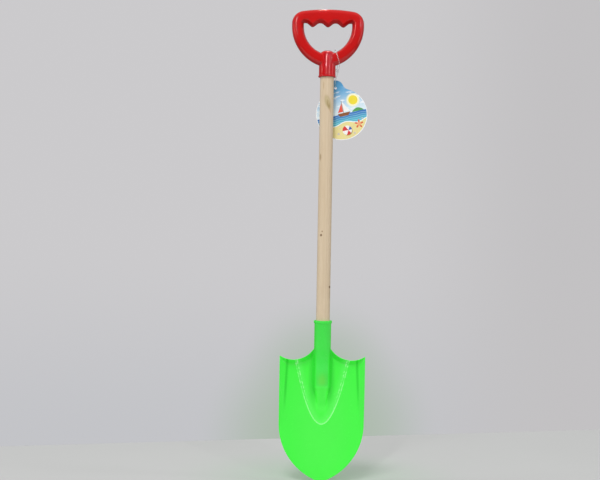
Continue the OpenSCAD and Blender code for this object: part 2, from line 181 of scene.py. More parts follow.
# Shader sums: a wire is one output of a shader node, and sums and products of wires add the nodes that work
# them out. Numbers go through Math nodes, places through Vector Math nodes and colours through Mix nodes.
class Wire:
    def __init__(self, tree, socket=None):
        self.tree, self.socket = tree, socket

    def node(self, kind, sockets=(), out=0, **settings):
        """Adds a node: its settings come first, then the values or links of its sockets."""
        made = self.tree.nodes.new("ShaderNode" + kind)
        for name, value in settings.items():
            setattr(made, name, value)
        for name, value in dict(sockets).items():
            plug(made.inputs[name], value)
        return Wire(self.tree, made.outputs[out])

    def join(self, operation, first, second):
        if not any(isinstance(v, Wire) and v.socket.type == "VECTOR" for v in (first, second)):
            return self.node("Math", {0: first, 1: second}, operation=operation)
        first, second = ((v,) * 3 if isinstance(v, (int, float)) else v for v in (first, second))
        return self.node("VectorMath", {0: first, 1: second}, operation=operation)

    def __add__(self, other):
        return self.join("ADD", self, other)

    def __radd__(self, other):
        return self.join("ADD", other, self)

    def __sub__(self, other):
        return self.join("SUBTRACT", self, other)

    def __rsub__(self, other):
        return self.join("SUBTRACT", other, self)

    def __mul__(self, other):
        return self.join("MULTIPLY", self, other)

    def __rmul__(self, other):
        return self.join("MULTIPLY", other, self)

    def __truediv__(self, other):
        return self.join("DIVIDE", self, other)

    def most(self, other):
        """The larger of the two."""
        return self.join("MAXIMUM", self, other)

    def turn(self, operation):
        """This number's sine, cosine, square root or size without its sign."""
        return self.node("Math", {0: self}, operation=operation)

    def parts(self):
        """The three numbers of a place."""
        split = self.node("SeparateXYZ", {0: self}).socket.node
        return [Wire(self.tree, out) for out in split.outputs]

    def rise(self, low, high):
        """0 up to low and 1 from high on, with a soft slope between. It falls where high is below low."""
        return self.node("MapRange", {"Value": self, "From Min": low, "From Max": high},
                         interpolation_type="SMOOTHSTEP")

    def mix(self, low, high):
        """The colour low where this wire is 0, and high where it is 1."""
        return self.node("Mix", {0: self, 6: low, 7: high}, out=2, data_type="RGBA")

    def noise(self, scale, detail=2):
        return self.node("TexNoise", {"Vector": self, "Scale": scale, "Detail": detail})

    def relief(self, depth):
        """The normal of a surface that stands depth millimetres higher where this wire is 1."""
        return self.node("Bump", {"Strength": 1, "Distance": depth * mm, "Height": self})


def plug(socket, value):
    if isinstance(value, Wire):
        value.tree.links.new(value.socket, socket)
    else:
        socket.default_value = (*value, 1) if socket.type == "RGBA" and len(value) == 3 else value


def material(name, **fixed):
    """A new material with fixed values, the function that feeds its shader, and the place on the piece."""
    made = bpy.data.materials.new(name)
    made.use_nodes = True
    shader = made.node_tree.nodes["Principled BSDF"]

    def feed(**sockets):
        for socket, value in sockets.items():
            plug(shader.inputs[socket.replace("_", " ")], value)

    feed(**fixed)
    return made, feed, Wire(made.node_tree).node("TexCoord", out="Object")


def dress(piece, finish):
    """Gives a piece its one material."""
    piece.data.materials.clear()
    piece.data.materials.append(finish)


nylon, feed, place = material("clear_nylon", IOR=1.53, Transmission_Weight=0.85, Coat_Weight=0.2)
cloud = place.noise(260)
feed(Base_Color=cloud.mix(*nylon_tones), Roughness=0.10 + 0.10 * cloud,
     Normal=place.noise(1400).relief(0.02))
for piece in (strand, lock):
    dress(piece, nylon)
    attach(piece, "loop")
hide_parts("tag_loop")
tuple(lock_middle * mm)

# Floor and backdrop: a pale floor that ends on a slant a little behind the shovel, at the foot of a wall.
# The wall is the world itself, so it shows from every side, and the floor can't be seen from underneath.
# Near the blade both carry painted shade, tinted soft and green by painted light that comes through the
# blade.
floor_front, floor_left, floor_right, floor_half_w, floor_gap, wall_h = -1400, -10, 722, 1600, 0.4, 600
floor_tones, painted_floor_shade_green = ((0.50, 0.505, 0.50), (0.53, 0.535, 0.53)), (0.455, 0.52, 0.46)
green_from, green_full = 270, 50
wall_shade_foot, wall_top, wall_shade_right = (0.545, 0.55, 0.575), (0.60, 0.592, 0.606), (0.545, 0.535, 0.545)
painted_wall_shade_green, light_x = (0.425, 0.50, 0.425), 8
floor_z = cad_box[0].z / mm - floor_gap


def backdrop(name, corners, paint):
    mesh = bpy.data.meshes.new(name)
    mesh.from_pydata([Vector(corner) * mm for corner in corners], [], [(0, 1, 2, 3)])
    made = placed(name, mesh)
    dress(made, paint)


def show(paint, share):
    """Shows a paint by a share that may vary, and leaves the rest clear."""
    tree = paint.node_tree
    shader = Wire(tree, tree.nodes["Principled BSDF"].outputs[0])
    shown = share.node("MixShader", {0: share, 1: share.node("BsdfTransparent"), 2: shader})
    plug(tree.nodes["Material Output"].inputs["Surface"], shown)


def is_behind(tree):
    """1 on the back of a surface and 0 on its front."""
    return Wire(tree).node("NewGeometry", out="Backfacing")


def is_seen(tree):
    """1 for what the camera sees, straight or through the nylon."""
    straight = Wire(tree).node("LightPath", out="Is Camera Ray")
    return straight.most(Wire(tree).node("LightPath", out="Is Transmission Ray"))


def distance(over, up):
    """How far a place is from a middle, from its ways over and up."""
    return (over * over + up * up).turn("SQRT")


floor_paint, feed, place = material("floor_paint", Roughness=0.6, Specular_IOR_Level=0.3)
x, y, _ = (place / mm).parts()
# Painted shade near the blade, tinted green by painted light from it.
painted_shade_by_blade = distance(x, y).rise(green_from, green_full)
feed(Base_Color=painted_shade_by_blade.mix(place.noise(3).mix(*floor_tones), painted_floor_shade_green))
show(floor_paint, 1 - is_behind(floor_paint.node_tree))
backdrop("floor", ((-floor_half_w, floor_front, floor_z), (floor_half_w, floor_front, floor_z),
                   (floor_half_w, floor_right, floor_z), (-floor_half_w, floor_left, floor_z)), floor_paint)

# The painted shadow and green light on the wall are two soft glows behind the blade, darker and greener than
# the wall, a wide one low down and a smaller one over it. Each has the height of its middle, half its width
# and height, how far out it stays full, and its strength.
painted_shade_and_green_glow, feed, place = material("green_light_on_wall", Base_Color=(0, 0, 0), Specular_IOR_Level=0,
                                    Emission_Color=painted_wall_shade_green, Emission_Strength=1)
x, _, z = (place / mm).parts()
clear = 1
for middle_z, glow_w, glow_h, full, strength in ((-752, 250, 250, 0.3, 1), (-591, 164, 135, 0, 0.7)):
    from_middle = distance((x - light_x) / glow_w, (z - middle_z) / glow_h)
    clear = clear * (1 - strength * from_middle.rise(1, full))
show(painted_shade_and_green_glow, (1 - clear) * is_seen(painted_shade_and_green_glow.node_tree) * (1 - is_behind(painted_shade_and_green_glow.node_tree)))
backdrop("painted_wall_shade_and_light", ((-floor_half_w, floor_left, floor_z), (floor_half_w, floor_right, floor_z),
                        (floor_half_w, floor_right, floor_z + wall_h),
                        (-floor_half_w, floor_left, floor_z + wall_h)), painted_shade_and_green_glow)

world = bpy.data.worlds.new("studio")
bpy.context.scene.world = world
world.use_nodes = True
tree = world.node_tree
rightward, _, height = Wire(tree).node("TexCoord", out="Generated").parts()
# Painted shade: the wall is darker towards its foot and to its right.
wall = height.rise(-0.21, 0).mix(wall_shade_foot, wall_top)
wall = rightward.rise(0.08, 0.26).mix(wall, wall_shade_right)
light = height.rise(-0.5, 0.8).mix((0.30, 0.30, 0.30), (0.62, 0.62, 0.62))
mirrored_light = height.rise(0, 0.9).mix((0.16, 0.16, 0.16), (0.5, 0.5, 0.5))
light = Wire(tree).node("LightPath", out="Is Glossy Ray").mix(light, mirrored_light)
plug(tree.nodes["Background"].inputs["Color"], is_seen(tree).mix(light, wall))

# Lamps: a broad soft lamp in front and above, a weaker one behind, two narrow tubes in front, a strip on
# either side and a small lamp high up behind. The glossy plastic shows the tubes and the strips as thin
# bright lines.
lamp_aim = Vector((0, 0, -0.37))


def lamp(name, place, wide, high, power, mirrored=True):
    made = placed(name, bpy.data.lights.new(name, "AREA"))
    made.visible_glossy = mirrored
    made.data.shape, made.data.size, made.data.size_y, made.data.energy = "RECTANGLE", wide, high, power
    made.location = place
    made.rotation_euler = (lamp_aim - Vector(place)).to_track_quat("-Z", "Y").to_euler()


lamp("soft_lamp", (-0.5, -1.5, 1.7), 0.8, 0.6, 30, mirrored=False)
lamp("left_tube", (-0.80, -2.9, 0.75), 0.03, 0.6, 14)
lamp("right_tube", (1.40, -2.4, 0.7), 0.03, 0.6, 7)
lamp("left_strip", (-1.86, -0.31, 0.08), 0.15, 1.3, 4)
lamp("right_strip", (1.86, -0.31, 0.08), 0.15, 1.3, 4)
lamp("high_lamp", (0.0, 0.7, 1.1), 0.06, 0.06, 1.2)
lamp("rear_lamp", (0.6, 1.6, 1.1), 0.8, 0.6, 10, mirrored=False)

# Hang tag: a round card with a tab, 0.6 mm thick, punched and hung on the nylon loop. Its front is printed
# with a plain seaside picture, its back is bare card. On the print, u runs to the right and v up, in
# millimetres from the card's middle.
tag_tilt, tag_drop, tag_r, tab_foot = radians(14), 44.6, 41.8, 26
print_edge = 0.3
sun_u, sun_v, sun_r, sun_glow_r = 23, 19, 7.5, 10.5
hill_u, hill_h, hill_left, hill_right = 27, 5.5, 17.5, 37
shore_v, shore_wave = -15, 2.2
ball_u, ball_v, ball_r = 3, -27, 7.6
star_u, star_v, star_r, star_arm = 24, -21, 4.6, 2.7
white, border_white = (0.90, 0.90, 0.88), (0.88, 0.90, 0.90)
card_tones = (0.68, 0.66, 0.60), (0.78, 0.76, 0.70)
card, feed, place = material("printed_card", Specular_IOR_Level=0.4)
x, y, z = (place / mm - Vector(tag_hole)).parts()
u, v = x * cos(tag_tilt) + z * sin(tag_tilt), z * cos(tag_tilt) - x * sin(tag_tilt) + tag_drop
flat = u.node("CombineXYZ", {0: u, 1: v})


def disc(u0, v0, r, soft=0.35):
    """1 inside a circle of the print and 0 outside it."""
    return distance(u - u0, v - v0).rise(r + soft, r - soft)


def side(u0, v0, u1, v1):
    """1 to the left of the line from one point of the print to another."""
    long = hypot(u1 - u0, v1 - v0)
    out = (v - v0) * ((u1 - u0) / long) - (u - u0) * ((v1 - v0) / long)
    return out.rise(-print_edge, print_edge)


def shape(*corners):
    """1 inside a convex outline of the print, given anticlockwise."""
    inside = side(*corners[-1], *corners[0])
    for a, b in zip(corners, corners[1:]):
        inside = inside * side(*a, *b)
    return inside


def bearing(over, up):
    """The angle of a place round a middle, from its ways over and up."""
    return over.node("Math", {0: up, 1: over}, operation="ARCTAN2")


# The sky with thin clouds and the sun, and the hill behind the sea.
print_colour = v.rise(-4, 46).mix((0.74, 0.87, 0.93), (0.10, 0.37, 0.66))
clouds = (flat * (1, 2.6, 1)).noise(0.05, detail=3).rise(0.5, 0.62) * v.rise(-2, 8) * v.rise(46, 30)
print_colour = (0.85 * clouds).mix(print_colour, (0.93, 0.95, 0.97))
print_colour = disc(sun_u, sun_v, sun_glow_r, 1.5).mix(print_colour, (0.97, 0.93, 0.62))
print_colour = disc(sun_u, sun_v, sun_r).mix(print_colour, (0.88, 0.72, 0.05))
hill_top = hill_h * ((u - hill_u) * 0.15).turn("COSINE")
hill = ((v - hill_top).rise(print_edge, -print_edge)
        * u.rise(hill_left, hill_left + 0.5) * u.rise(hill_right, hill_right - 0.5))
print_colour = hill.mix(print_colour, (0.10, 0.36, 0.10))

# The sea with its swell, and the boat's white sail, red sail, hull and mast.
swell = (v * 1.9 + (u * 0.35).turn("SINE") * 0.9 + flat.noise(0.09) * 2.5).turn("SINE").rise(0.55, 0.95)
sea_colour = v.rise(shore_v, 0).mix((0.10, 0.50, 0.62), (0.035, 0.17, 0.52))
sea_colour = (0.45 * swell).mix(sea_colour, (0.55, 0.78, 0.90))
print_colour = v.rise(print_edge, -print_edge).mix(print_colour, sea_colour)
for corners, colour in (
        (((4.4, 3.5), (14.5, 3.5), (4.4, 20.5)), white),
        (((3.2, 3.5), (3.2, 17.5), (-5.5, 3.5)), (0.82, 0.10, 0.06)),
        (((-6.5, 1.8), (-3.2, -3.4), (10.6, -3.4), (14.8, 1.8)), (0.28, 0.10, 0.035)),
        (((3.5, 1.8), (4.2, 1.8), (4.2, 21.5), (3.5, 21.5)), (0.20, 0.10, 0.05))):
    print_colour = shape(*corners).mix(print_colour, colour)

# The sand with a line of foam, the ball and its shadow, the starfish and the pebbles.
below_shore = shore_v + shore_wave * (u * 0.16 + 1).turn("SINE") - v
sand_colour = flat.noise(0.9, detail=4).mix((0.72, 0.60, 0.22), (0.92, 0.83, 0.42))
print_colour = below_shore.rise(-0.9, -0.5).mix(print_colour, (0.90, 0.94, 0.94))
print_colour = below_shore.rise(0.5, 0.9).mix(print_colour, sand_colour)
ball_turn = bearing(u - ball_u - 2, v - ball_v)
gores = (ball_turn * 3).turn("SINE").rise(-0.08, 0.08).mix(white, (0.70, 0.05, 0.05))
gores = (ball_turn * 1.5 + 0.8).turn("SINE").rise(0.70, 0.78).mix(gores, (0.03, 0.13, 0.50))
print_colour = disc(ball_u + 0.8, ball_v - 1.2, ball_r).mix(print_colour, (0.40, 0.29, 0.08))
print_colour = disc(ball_u, ball_v, ball_r).mix(print_colour, gores)
star_turn = bearing(u - star_u, v - star_v)
star_out = distance(u - star_u, v - star_v)
star = (star_out - star_r - star_arm * (star_turn * 5 + 0.7).turn("SINE")).rise(print_edge, -print_edge)
print_colour = star.mix(print_colour, star_out.rise(1, 5).mix((0.93, 0.42, 0.22), (0.70, 0.13, 0.06)))
for pebble in ((14, -34, 1.6), (-12, -30, 1.9), (-24, -24, 1.4), (31, -13, 1.1), (-8, -22, 1)):
    print_colour = disc(*pebble).mix(print_colour, (0.62, 0.56, 0.50))

# A pale border round the print, but for the tab, and bare card on the cut edge and the back.
border = distance(u, v).rise(tag_r - 1.4, tag_r - 1) * v.rise(tab_foot, tab_foot - 2)
print_colour = border.mix(print_colour, border_white)
bare = y.rise(-0.28, -0.2)
pulp = place.noise(900, detail=3)
feed(Base_Color=bare.mix(print_colour, pulp.mix(*card_tones)),
     Roughness=0.28 + 0.08 * place.noise(60) + 0.4 * bare, Normal=pulp.relief(0.01))
dress(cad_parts["hang_tag"], card)

# Grip: one moulding of glossy red plastic, a D-shaped hand loop with finger ridges under its bar, and the
# collar that the shaft is pressed into. Its mould has two halves, which leave a fine seam all round.
grip_w, grip_t, crown_h, corner_r, widest_drop, sweep_drop = 115.8, 23, 12.9, 20, 10, 14
limb_sweep_r, limb_w, limb_flare = 66.5, 19, 2
groove_drop, finger_h, finger_pitch, finger_power = 9, 6.3, 24.6, 1.25
bevel_w, outer_round_w, bevel_power, round_power = 4.6, 8, 1.5, 2.3
face_swell, seam_w, seam_h = 0.08, 0.25, 0.1
red_tones = (0.48, 0.003, 0.003), (0.56, 0.004, 0.004)
corner_x, limb_x = grip_w / 2 - corner_r, grip_w / 2 - limb_sweep_r
crown_rise = crown_h + widest_drop
crown_r = (corner_x ** 2 + crown_rise ** 2 - corner_r ** 2) / (2 * (crown_rise - corner_r))
crown_angle = asin(corner_x / (crown_r - corner_r))
inner_corner_x = grip_w / 2 - limb_w


def finger_line(x):
    """The bar's lower line, with three ridges between the fingers."""
    wave = (1 + cos(2 * pi * x / finger_pitch)) / 2
    return -groove_drop - (abs(x) < 1.5 * finger_pitch) * finger_h * wave ** finger_power


def on_arc(x, z, r, angle):
    return np.array([x + r * cos(angle), z + r * sin(angle)])


# The stations go round the loop: each is a pair of points, on its inner line and on its outer line.
stations = [(np.array([x, finger_line(x)]),
             on_arc(0, crown_h - crown_r, crown_r, pi / 2 - x / corner_x * crown_angle))
            for x in np.linspace(0, corner_x, 81)]
stations += [(np.array([mix(corner_x, inner_corner_x, t), mix(finger_line(corner_x), -widest_drop, t)]),
              on_arc(corner_x, -widest_drop, corner_r, (1 - t) * (pi / 2 - crown_angle)))
             for t in np.linspace(0, 1, 19)[1:]]
for t in np.linspace(0, 1, 61):
    inner_r = limb_sweep_r - limb_w - limb_flare * t ** 3
    stations.append((on_arc(limb_x, -sweep_drop, inner_r, -t * acos(-limb_x / inner_r)),
                     on_arc(limb_x, -sweep_drop, limb_sweep_r, -t * acos(-limb_x / limb_sweep_r))))
stations += [(inner * (-1, 1), outer * (-1, 1)) for inner, outer in stations[-2:0:-1]]

# A section's point is its way past the seam, its shares of the bevel, the face and the rounding, and its
# height over the middle of the grip's thickness.
quarter = np.linspace(0, pi / 2, 13)[1:]
half_t = grip_t / 2
section = [(-seam_h, 0, 0, 0, 0), (-seam_h, 0, 0, 0, seam_w / 2), (0, 0, 0, 0, seam_w)]
section += [(0, 1 - cos(a) ** (2 / bevel_power), 0, 0, half_t * sin(a) ** (2 / bevel_power))
            for a in quarter]
section += [(0, 1, t, 0, half_t + face_swell * 4 * t * (1 - t)) for t in np.linspace(0, 1, 9)[1:]]
section += [(0, 1, 1, cos(a) ** (2 / round_power), half_t * sin(a) ** (2 / round_power))
            for a in quarter[-2::-1]]
section += [(0, 1, 1, 1, seam_w), (seam_h, 1, 1, 1, seam_w / 2), (seam_h, 1, 1, 1, 0)]
section += [(*shares, -y) for *shares, y in section[-2:0:-1]]
rings = []
for i, (inner, outer) in enumerate(stations):
    across, run = outer - inner, stations[(i + 1) % len(stations)][0] - stations[i - 1][0]
    w = np.linalg.norm(across)
    bevel = bevel_w * w * np.linalg.norm(run) / abs(across[0] * run[1] - across[1] * run[0])
    widths = np.array([1, bevel, w - bevel - outer_round_w, outer_round_w])
    places = [(inner + across * (shares @ widths) / w, y) for *shares, y in section]
    rings.append([(x, y, z) for (x, z), y in places])
grip = lofted("grip_moulding", rings, closed=True)

collar_drop, collar_seat, collar_r, seat_r, grip_screw_z = 96, 34, 13.35, 11.05, -83
collar_rim_step, collar_rim_h, rim_power, dome_t, dome_r = 1.05, 2.6, 0.6, 9.4, 17
corner_below, corner_turn, dome_hole, overcut = 1.6, 0.1, 0.012, 2
dome_z = collar_seat - collar_drop + dome_t - dome_r
dome_edge = acos(collar_r / dome_r)


def turned(name, profile, place=Matrix(), steps=192):
    """A solid turned about the upright axis, from its radii and heights in millimetres."""
    angles = np.linspace(0, 2 * pi, steps, endpoint=False)
    solid = lofted(name, [[(r * cos(a), r * sin(a), z) for a in angles] for r, z in profile])
    solid.data.transform(place)
    return solid


def joined(body, operation, tool):
    """Joins the tool's shape on to the body, or cuts it away."""
    step = body.modifiers.new("joined", "BOOLEAN")
    step.operation, step.solver, step.object = operation, "MANIFOLD", tool
    mesh = bpy.data.meshes.new_from_object(body.evaluated_get(bpy.context.evaluated_depsgraph_get()))
    body.modifiers.clear()
    body.data = mesh
    bpy.data.objects.remove(tool)


def screw_hole(body, wall_r, z):
    """Cuts the spot face for the screw's head and the hole through the wall, from the back."""
    head_seat, head_hole_r, shank_hole_r, shank_start = 0.9, 3.6, 1.6, 2
    from_back = Matrix.Translation((0, 0, z * mm)) @ Matrix.Rotation(-pi / 2, 4, "X")
    for r, start, end in ((head_hole_r, wall_r - head_seat, wall_r + overcut),
                          (shank_hole_r, shank_start, wall_r)):
        joined(body, "DIFFERENCE", turned("hole", [(r, start), (r, end)], from_back, 64))


rim = [(collar_r + collar_rim_step * sin(pi * t) ** rim_power, -collar_drop + collar_rim_h * t)
       for t in np.linspace(0, 1, 13)]
corner = on_arc(0, dome_z, dome_r, dome_edge)
below, above = corner - (0, corner_below), on_arc(0, dome_z, dome_r, dome_edge + corner_turn)
soft_corner = [mix(mix(below, corner, t), mix(corner, above, t), t) for t in np.linspace(0, 1, 7)]
dome = [on_arc(0, dome_z, dome_r, a)
        for a in np.linspace(dome_edge + corner_turn, pi / 2 - dome_hole, 24)[1:]]
joined(grip, "UNION", turned("collar", rim + soft_corner + dome))
joined(grip, "DIFFERENCE", turned("bore", [(seat_r, -collar_drop - overcut),
                                           (seat_r, collar_seat - collar_drop)]))
screw_hole(grip, collar_r, grip_screw_z)
smoothed(grip.data, 32)

red, feed, place = material("glossy_red_plastic", IOR=1.5)
cloud, wobble = place.noise(25, detail=3), place.noise(90, detail=1)
scuffs = (place * (1, 1, 0.25)).noise(900, detail=4).rise(0.62, 0.72)
feed(Base_Color=cloud.mix(*red_tones), Roughness=0.06 + 0.03 * cloud + 0.08 * scuffs,
     Normal=(wobble + 0.05 * place.noise(1500)).relief(0.04))
dress(grip, red)
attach(grip, "shovel")
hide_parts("grip")

# Shaft: a turned dowel of pale wood, 22 mm thick and 530 mm long, sanded and left bare. Its ends are pressed
# into the collar and the socket, and it shows the grain, a knot and a few marks.
wood_tones = (0.62, 0.49, 0.335), (0.66, 0.53, 0.375)
dark_fibre, pale_patch = (0.53, 0.40, 0.26), (0.70, 0.575, 0.42)
heart_x, heart_y, ring_wander, ring_turn = 30, 45, 9, 2.6
wood, feed, place = material("bare_pale_wood", Specular_IOR_Level=0.35)
x, y, z = (place / mm).parts()
drift = (place * (20, 20, 3)).noise(1, detail=3)
from_heart = distance(x - heart_x + ring_wander * drift, y - heart_y)
grain = (from_heart * ring_turn).turn("SINE") * 0.5 + 0.5
fibre = (place * (1, 1, 0.02)).noise(2200, detail=4)
patch = (place * (1, 1, 0.3)).noise(30)


def spot(x0, z0, wide, tall, lean=0.0):
    """1 in the middle of a mark on the shaft's front, falling to 0 at its edge."""
    over, up = x - x0 + lean * (z - z0), z - z0
    out = (over * over / wide ** 2 + up * up / tall ** 2 + (fibre - 0.5) * 0.6).turn("SQRT")
    return out.rise(1, 0.35) * y.rise(0.5, -0.5)


wood_colour = grain.mix(*wood_tones)
wood_colour = (0.55 * fibre.rise(0.45, 0.75)).mix(wood_colour, dark_fibre)
wood_colour = (0.5 * patch.rise(0.35, 0.75)).mix(wood_colour, pale_patch)

# The marks: four make the knot, then a streak below it and one above it, a brown mark further down, a pair
# of dark dots, and a dark dot with a thin crack below it.
for mark, colour in ((0.75 * spot(1.8, -137, 6.6, 15, 0.25), (0.36, 0.29, 0.12)),
                     (0.80 * spot(2.2, -137, 5.0, 12, 0.25), (0.58, 0.47, 0.29)),
                     (0.75 * spot(2.6, -140, 3.4, 9.5, 0.25), (0.31, 0.22, 0.08)),
                     (0.60 * spot(2.6, -138, 1.6, 5, 0.25), (0.55, 0.44, 0.26)),
                     (0.55 * spot(5.5, -150, 1.4, 6, 0.2), (0.50, 0.27, 0.15)),
                     (0.40 * spot(-5.5, -110, 1.3, 9), (0.38, 0.25, 0.12)),
                     (0.80 * spot(-8.5, -225, 1.8, 7.5), (0.38, 0.27, 0.15)),
                     (0.95 * spot(-5.5, -350, 2.2, 2.8), (0.16, 0.09, 0.04)),
                     (0.80 * spot(-4, -344, 1.5, 1.9), (0.22, 0.12, 0.05)),
                     (0.95 * spot(9.6, -433, 1.8, 3.0), (0.16, 0.09, 0.04)),
                     (0.42 * spot(9.6, -444, 0.9, 12), (0.40, 0.28, 0.15))):
    wood_colour = mark.mix(wood_colour, colour)
feed(Base_Color=wood_colour, Roughness=0.5 + 0.15 * fibre, Normal=(fibre + 0.3 * grain).relief(0.05))
dress(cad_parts["shaft"], wood)

# Blade: one moulding of translucent bright green plastic. A dished sheet with turned-up walls and shoulders
# has a sunk U-shaped hollow with a sharp edge, and in it a nose that grows into the socket for the shaft.
blade_w, blade_t, point_sweep_r, point_r, point_level = 136.6, 2.2, 98, 12, -746
ear_h, scallop_r, scallop_x, scallop_share, edge_round, least_half_t = 203, 39, 46, 0.88, 0.9, 0.01
pan_depth, pan_rise, point_rise = 1, 6, 6
wall_w, wall_rise, shoulder_w, corner_soft, wall_from, wall_run = 12, 9, 7.5, 1.2, 0.8, 0.9
hollow_z, hollow_half_w, hollow_h, hollow_edge_w, hollow_fall = 91, 44, 2.4, 3.8, 5
nose_len, nose_soft, nose_foot_share, nose_flank, nose_half_w = 34, 5, 0.4, 2, 27
socket_top, socket_seat, socket_r, socket_wall, socket_end, socket_end_r = 258.7, 104.7, 13.45, 2.4, 10, 8
socket_rim_step, socket_rim_h, rim_foot_share, rim_round, blade_screw_z = 1.1, 4.7, 0.16, 0.6, -500.3
cover_from, cover_to, cover_step = 188, 206, 0.3
half_w = blade_w / 2
sweep_in = point_sweep_r - half_w
side_foot = point_r + ((point_sweep_r - point_r) ** 2 - sweep_in ** 2) ** 0.5
scallop_z = ear_h + (scallop_r ** 2 - (half_w - scallop_x) ** 2) ** 0.5
touch_x = point_sweep_r * sweep_in / (point_sweep_r - point_r) - sweep_in
root_x = scallop_x - scallop_r * scallop_share
socket_floor = socket_top - socket_seat
nose_foot = socket_floor - socket_wall - nose_len
hollow_focus = hollow_half_w ** 2 / (scallop_z - scallop_r - hollow_z)


# On the blade, a is how far a place is from the middle, to either side, and z is its height above the point.
def foot_line(a):
    """The lower outline: the rounded point, and the curved side that goes up from it."""
    return np.where(a < touch_x, point_r - np.sqrt(np.maximum(point_r ** 2 - a * a, 0)),
                    side_foot - np.sqrt(np.maximum(point_sweep_r ** 2 - (a + sweep_in) ** 2, 0)))


def scallop_line(a, out):
    """The upper outline between the ear and the socket, moved down into the sheet by out."""
    return scallop_z - np.sqrt((scallop_r + out) ** 2 - (np.maximum(a, root_x) - scallop_x) ** 2)


def edge_turn(a):
    """How far to go up to be one millimetre inside the hollow's edge."""
    return np.hypot(1, 2 * a / hollow_focus)


def edge_line(a, inside):
    """The hollow's edge, a parabola, moved into the hollow by inside."""
    return hollow_z + a * a / hollow_focus + inside * edge_turn(a)


def hollow(a, z):
    """How deep the hollow is: a step down at its edge, and a slow fall from there to the socket."""
    inside = (z - edge_line(a, 0)) / edge_turn(a)
    return (hollow_h * ease(inside / hollow_edge_w)
            + hollow_fall * np.clip(inside / (socket_floor - hollow_z), 0, 1))


def ramp(d, soft):
    """0 while d is below 0 and d from there on, with a soft bend between."""
    return (d + np.hypot(d, soft)) / 2


def blend_max(a, b, soft):
    """The larger of the two, with a soft change from one to the other."""
    return np.maximum(a, b) + (np.maximum(soft - np.abs(a - b), 0) / soft) ** 2 * soft / 4


def covered(z):
    """0 where the sheet forms the front of the socket, and 1 further up, where the tube covers it."""
    return ease((z - cover_from) / (cover_to - cover_from))


def blade_face(a, z):
    """How far the face stands forward of the shaft's axis."""
    pan = (-pan_depth + pan_rise * (a / half_w) ** 2
           + point_rise * (np.maximum(side_foot - z, 0) / side_foot) ** 2)
    wall = (wall_rise * ramp(a - half_w + wall_w, corner_soft) / wall_w
            * ease((z - side_foot * wall_from) / (side_foot * wall_run)))
    to_scallop = np.hypot(a - scallop_x, z - scallop_z) - scallop_r
    shoulder = wall_rise * ramp(shoulder_w - to_scallop, corner_soft) / shoulder_w
    t, nose_floor = np.minimum((z - nose_foot) / nose_len, 1), -pan_depth - hollow(0, nose_foot)
    nose_r = socket_r - cover_step * covered(z)
    base, peak = mix(nose_floor, 0, t), mix(nose_floor, nose_r, t)
    w = nose_r * mix(nose_foot_share, 1, np.maximum(t, 0))
    nose = np.where(a < w, base + (peak - base) * np.sqrt(np.maximum(1 - (a / w) ** 2, 0)),
                    base - nose_flank * (a - w))
    return blend_max(pan - hollow(a, z) + blend_max(wall, shoulder, corner_soft), nose, nose_soft)


def edge_distance(a, z):
    """Distance from the blade's outline, which the socket hides in the middle of the top."""
    foot = np.where(z < side_foot, point_sweep_r - np.hypot(a + sweep_in, z - side_foot), half_w - a)
    tip = np.where((z < point_r) & (a < touch_x), point_r - np.hypot(a, z - point_r), half_w)
    scallop = np.where(a > root_x, np.hypot(a - scallop_x, z - scallop_z) - scallop_r, half_w)
    return np.maximum(np.minimum(np.minimum(foot, tip), scallop), 0)


# The sheet's mesh has its rows close together at the outline, the hollow's edge and the shoulders' fold.
near_edge = edge_round * (1 - np.cos(np.linspace(0, pi / 2, 7)))
wall_start = half_w - wall_w - 2
half_columns = np.concatenate([np.linspace(0, nose_half_w, 37), np.linspace(nose_half_w, wall_start, 26)[1:],
                               np.linspace(wall_start, half_w - edge_round, 30)[1:],
                               half_w - near_edge[-2::-1]])
columns = np.concatenate([-half_columns[:0:-1], half_columns])
a = np.abs(columns)[:, None]
low, high, fold = foot_line(a), scallop_line(a, 0), scallop_line(a, shoulder_w)
lines = [low + edge_round, np.minimum(edge_line(a, -1), fold - 12),
         np.minimum(edge_line(a, hollow_edge_w + 1), fold - 6), fold - 2, fold + 2, high - edge_round]
heights = [low + near_edge]
for start, end, rows in zip(lines, lines[1:], (80, 20, 90, 12, 24)):
    heights.append(mix(start, end, np.linspace(0, 1, rows + 1)[None, 1:]))
heights = np.concatenate(heights + [high - near_edge[-2::-1]], axis=1)
a = np.broadcast_to(a, heights.shape)

# The sheet is as thick on its slopes as on the flat, up to a limit, and round at its outline.
face, probe, most_slant = blade_face(a, heights), 0.05, 2
slope_across = (blade_face(a + probe, heights) - face) / probe
slope_up = (blade_face(a, heights + probe) - face) / probe
slant = np.minimum(np.hypot(1, np.hypot(slope_across, slope_up)), most_slant)
shares = 1 - np.minimum(edge_distance(a, heights) / edge_round, 1)
half_sheet = blade_t * slant / 2
swell = half_sheet * np.sqrt(1 - shares ** 2) + least_half_t
x = np.broadcast_to(columns[:, None], heights.shape)
front = np.stack([x, half_sheet - face - swell, heights + point_level], axis=-1)
rear = np.stack([x, half_sheet - face + swell, heights + point_level], axis=-1)
blade = lofted("blade_moulding", [list(f) + list(r[::-1]) for f, r in zip(front, rear)])

tube = [(socket_end_r - 1, socket_floor - socket_end), (socket_end_r, socket_floor - socket_end + 0.5)]
tube += [(socket_r - cover_step * (1 - covered(z)), z) for z in np.linspace(socket_floor, cover_to + 2, 40)]
tube += [(socket_r, socket_top - socket_rim_h)]
tube += [(socket_r + socket_rim_step * ease(t / rim_foot_share), socket_top - socket_rim_h * (1 - t))
         for t in np.linspace(0, rim_foot_share, 7)[1:]]
tube += [on_arc(socket_r + socket_rim_step - rim_round, socket_top - rim_round, rim_round, a)
         for a in np.linspace(0, pi / 2, 8)]
joined(blade, "UNION", turned("socket", [(r, z + point_level) for r, z in tube]))
joined(blade, "DIFFERENCE", turned("bore", [(seat_r, socket_floor + point_level),
                                            (seat_r, socket_top + point_level + overcut)]))
screw_hole(blade, socket_r, blade_screw_z)
smoothed(blade.data, 40)

